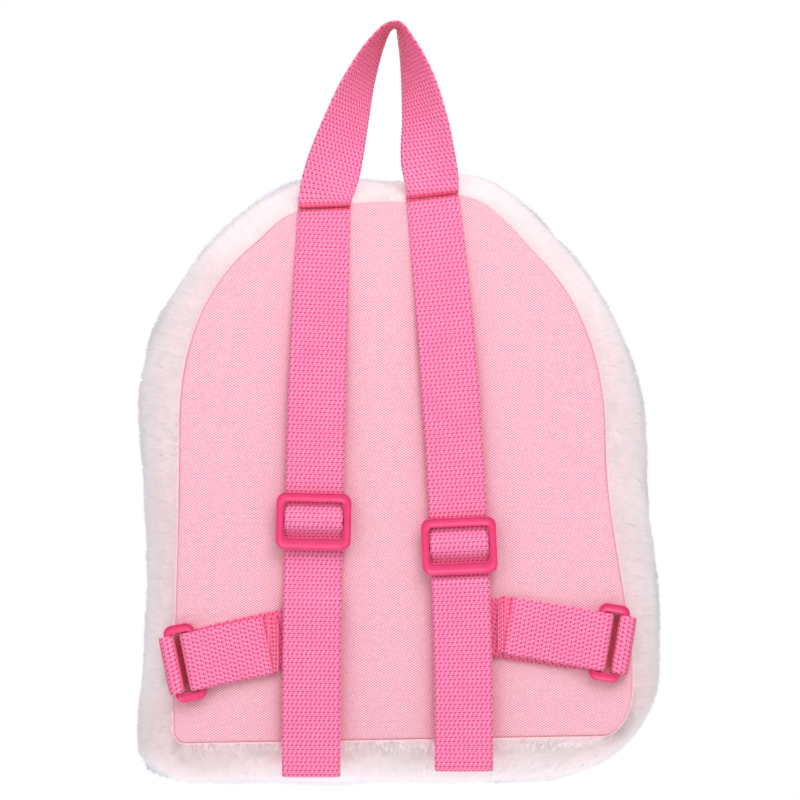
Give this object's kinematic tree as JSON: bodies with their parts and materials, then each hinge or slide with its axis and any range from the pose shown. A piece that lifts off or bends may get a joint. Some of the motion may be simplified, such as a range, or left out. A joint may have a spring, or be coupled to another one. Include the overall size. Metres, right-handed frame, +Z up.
{
  "type": "kids plush backpack",
  "caption": "Small arch-shaped plush backpack with a woven back panel, zip top, twisted grab loop, and webbing shoulder straps with tri-glide adjusters and side rings.",
  "frame": {"origin": "underside of the grab loop's peak, where a hook bears", "axes": "+Z up along the hanging bag, +Y from the back panel towards the plush front, +X to the right as the strap side is seen"},
  "size_m": [0.2281, 0.1075, 0.3317],
  "materials": {
    "plush": "white short-pile rabbit-like plush",
    "panel": "pale pink plain-woven polyester",
    "zip": "pink zip tape with moulded coil",
    "webbing": "hot pink woven polypropylene webbing",
    "fittings": "satin moulded pink plastic"
  },
  "bodies": {
    "root": {"plush_side": "plush", "front_panel": "plush", "back_panel": "panel", "zip": "zip", "grab_loop": "webbing", "shoulder_strap_left": "webbing", "shoulder_strap_right": "webbing", "side_strap_left": "webbing", "side_strap_right": "webbing", "anchor_tab_left": "webbing", "anchor_tab_right": "webbing", "adjuster_left": "fittings", "adjuster_right": "fittings", "side_ring_left": "fittings", "side_ring_right": "fittings"}
  },
  "joints": []
}
